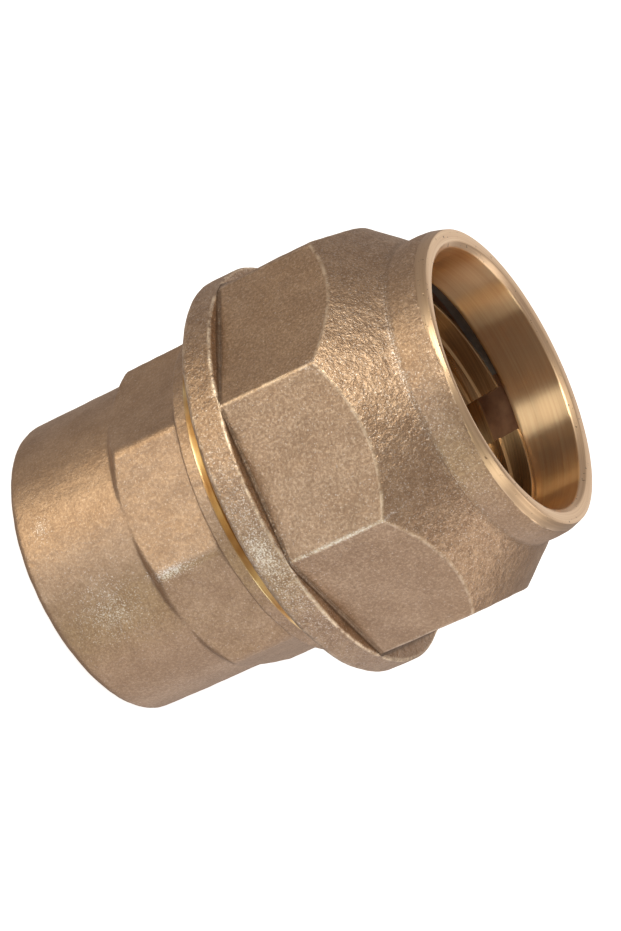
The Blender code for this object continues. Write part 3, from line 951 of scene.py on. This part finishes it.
def build_ring(metal):
    """The split grip ring, tilted in its cone."""
    mesh = split_ring_mesh("grip_ring_fine", ring_section())
    lean = Vector((math.sin(RING_LOW_SIDE), -math.cos(RING_LOW_SIDE), 0))
    tilt = Matrix.Rotation(-RING_TILT, 4, lean)
    mesh.transform(Matrix.Translation((0, 0, RING_FRONT * MM)) @ tilt)
    mesh.shade_smooth()
    mesh.set_sharp_from_angle(angle=RING_SHARP)
    mesh.materials.append(metal)
    ring = bpy.data.objects.new("split_ring", mesh)
    bpy.context.scene.collection.objects.link(ring)
    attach(ring, "ring_carrier")
    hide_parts("grip_ring")


def build_packing(metal, rubber):
    """The thrust washer and the seal, with their edges rounded."""
    for name, node, slot, surface, inner, edge in (
            ("washer_fine", "thrust_washer", "washer_brass", metal, WASHER_INNER_R, WASHER_EDGE),
            ("seal_fine", "seal_ring", "seal_rubber", rubber, SEAL_INNER_R, SEAL_EDGE)):
        low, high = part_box(node)
        outer = high.x / MM - edge
        inner += edge
        bottom = low.z / MM + edge
        top = high.z / MM - edge
        t = Turning(np.linspace(0, 2 * math.pi, PACKING_COLUMNS, endpoint=False))
        t.arc((outer, top), edge, 90, 0, 5, "all")
        t.arc((outer, bottom), edge, 0, -90, 5, "all")
        t.arc((inner, bottom), edge, -90, -180, 5, "all")
        t.arc((inner, top), edge, 180, 90, 5, "all")
        piece = turned_piece(name, t, {"all": surface})
        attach(piece, "body")
        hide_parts(node)


# ---------------------------------------------------------------- studio

def view_axes():
    """The camera's right, up and backward directions."""
    forward = Vector((-math.sin(CAMERA_AZIMUTH) * math.cos(CAMERA_ELEVATION),
                      math.cos(CAMERA_AZIMUTH) * math.cos(CAMERA_ELEVATION),
                      -math.sin(CAMERA_ELEVATION)))
    level = Vector((math.cos(CAMERA_AZIMUTH), math.sin(CAMERA_AZIMUTH), 0))
    over = level.cross(forward)
    right = level * math.cos(CAMERA_ROLL) + over * math.sin(CAMERA_ROLL)
    up = right.cross(forward)
    return right, up, -forward


def build_camera():
    """A long lens from a little above, rolled so that the fitting lies across the picture."""
    right, up, back = view_axes()
    mouth = Vector((0, 0, MOUTH * MM))
    place = mouth - right * MOUTH_RIGHT * MM - up * MOUTH_UP * MM + back * CAMERA_DISTANCE * MM
    data = bpy.data.cameras.new("camera")
    data.lens = LENS
    data.clip_start = 0.01
    camera = bpy.data.objects.new("camera", data)
    turn = Matrix((right, up, back)).transposed().to_4x4()
    camera.matrix_world = Matrix.Translation(place) @ turn
    bpy.context.scene.collection.objects.link(camera)
    bpy.context.scene.camera = camera


def soft_light(name, direction, size, power, colour):
    """A square softbox that faces the fitting from a direction given by the camera's axes."""
    data = bpy.data.lights.new(name, "AREA")
    data.size = size
    data.energy = power
    data.color = colour
    light = bpy.data.objects.new(name, data)
    right, up, back = view_axes()
    aim = (right * direction[0] + up * direction[1] + back * direction[2]).normalized()
    middle = Vector((0, 0, 0.5 * MOUTH * MM))
    light.location = middle + aim * LIGHT_DISTANCE
    light.rotation_euler = aim.to_track_quat("Z", "Y").to_euler()
    bpy.context.scene.collection.objects.link(light)


def build_world():
    """Even, slightly warm surroundings."""
    world = bpy.data.worlds.new("studio")
    world.use_nodes = True
    world.node_tree.nodes["Background"].inputs["Color"].default_value = WORLD_COLOUR
    bpy.context.scene.world = world


def build_floor():
    """A plain pale floor that takes no part in lighting the fitting."""
    bpy.ops.mesh.primitive_plane_add(size=FLOOR_SIZE, location=(0, 0, FLOOR_HEIGHT))
    floor = bpy.context.object
    floor.name = "studio_floor"
    floor.data.materials.append(floor_material("studio_floor"))
    floor.visible_glossy = False
    floor.visible_diffuse = False
    floor.visible_shadow = False


def casting_finishes():
    """The materials of both castings, by finish."""
    return {
        "cast": cast_material("cast_gunmetal_skin"),
        "machined": machined_material("turned_gunmetal", (0.74, 0.52, 0.29), (0.50, 0.33, 0.17),
                                      0.28),
        "bore": machined_material("bored_gunmetal", (0.98, 0.75, 0.48), (0.84, 0.58, 0.34), 0.29,
                                  streaks=3600.0, stretch=1.0, relief=0.15),
        "bright": machined_material("bright_turned_gunmetal", (0.94, 0.72, 0.49),
                                    (0.76, 0.53, 0.33), 0.34, pits=0.9, stretch=0.4),
        "bevel": machined_material("turned_lip_edge", (0.82, 0.60, 0.39), (0.64, 0.45, 0.28), 0.32,
                                   pits=0.7, stretch=0.1),
        "gold": fresh_material("fresh_turned_gunmetal"),
        # Painted shade: the last two finishes colour the deep inner surfaces bluish grey and brown
        # for the shadow there
        "dull": painted_shade_material("painted_shade_bluish_gunmetal", (0.30, 0.285, 0.275), (0.40, 0.38, 0.365), 0.15),
        "painted_shade_brown": painted_shade_material("painted_shade_brown_gunmetal", (0.38, 0.20, 0.12), (0.56, 0.32, 0.19), 0.4),
    }


finishes = casting_finishes()
ring_metal = machined_material("ring_brass_turned", (0.70, 0.49, 0.27), (0.44, 0.29, 0.15), 0.3)
washer_metal = machined_material("washer_brass_face", (0.66, 0.49, 0.26), (0.48, 0.34, 0.17), 0.3)
seal_rubber = rubber_material("seal_rubber_black")
build_body(finishes)
build_nut(finishes)
build_ring(ring_metal)
build_packing(washer_metal, seal_rubber)
build_camera()
build_world()
build_floor()
for light in LIGHTS:
    soft_light(*light)
bpy.context.scene.view_settings.view_transform = "Standard"
